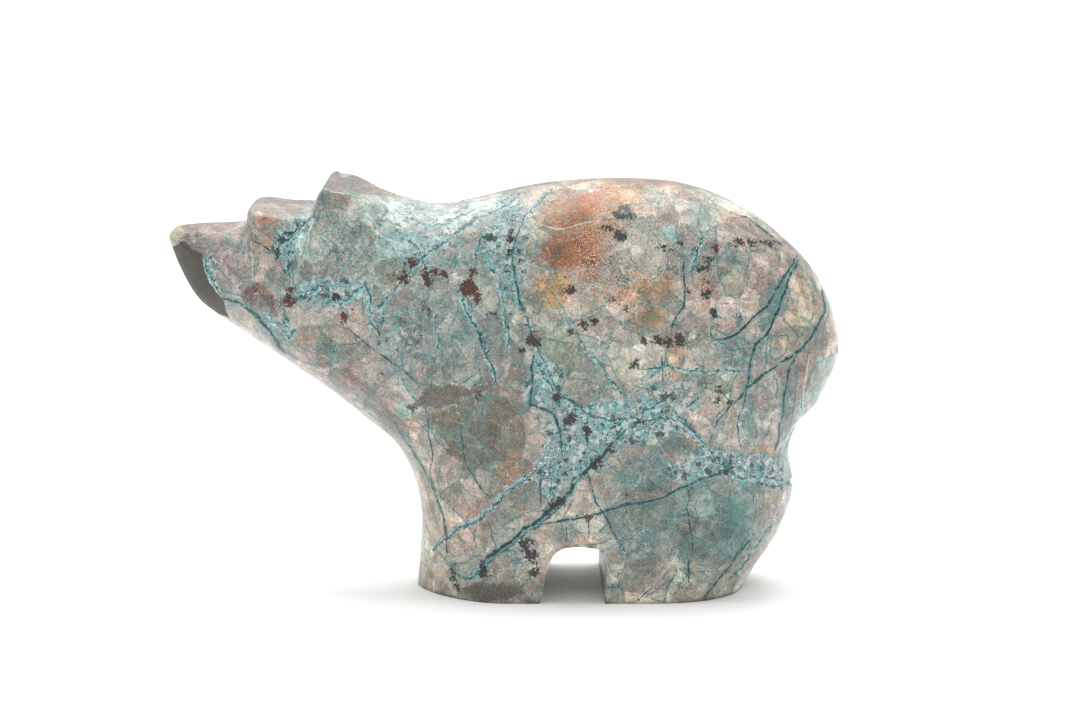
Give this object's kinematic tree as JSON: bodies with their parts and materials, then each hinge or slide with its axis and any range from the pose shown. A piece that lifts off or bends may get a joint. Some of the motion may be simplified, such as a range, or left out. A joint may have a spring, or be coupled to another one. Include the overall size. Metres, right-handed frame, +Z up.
{
  "type": "stone bear carving",
  "caption": "Small standing bear carved from one piece of turquoise-bearing stone, with raised head, ears, and solid leg pairs with an arch between.",
  "frame": {"origin": "bottom centre of the bounding box, on the ground between the leg pairs", "axes": "+Z up, -X the way the nose points, +Y across the figure to the far side of the picture"},
  "size_m": [0.1, 0.0325, 0.0618],
  "materials": {
    "polished_stone": "polished turquoise-bearing stone, taupe and blue-green with dark veins"
  },
  "bodies": {
    "root": {"bear_carving": "polished_stone"}
  },
  "joints": []
}
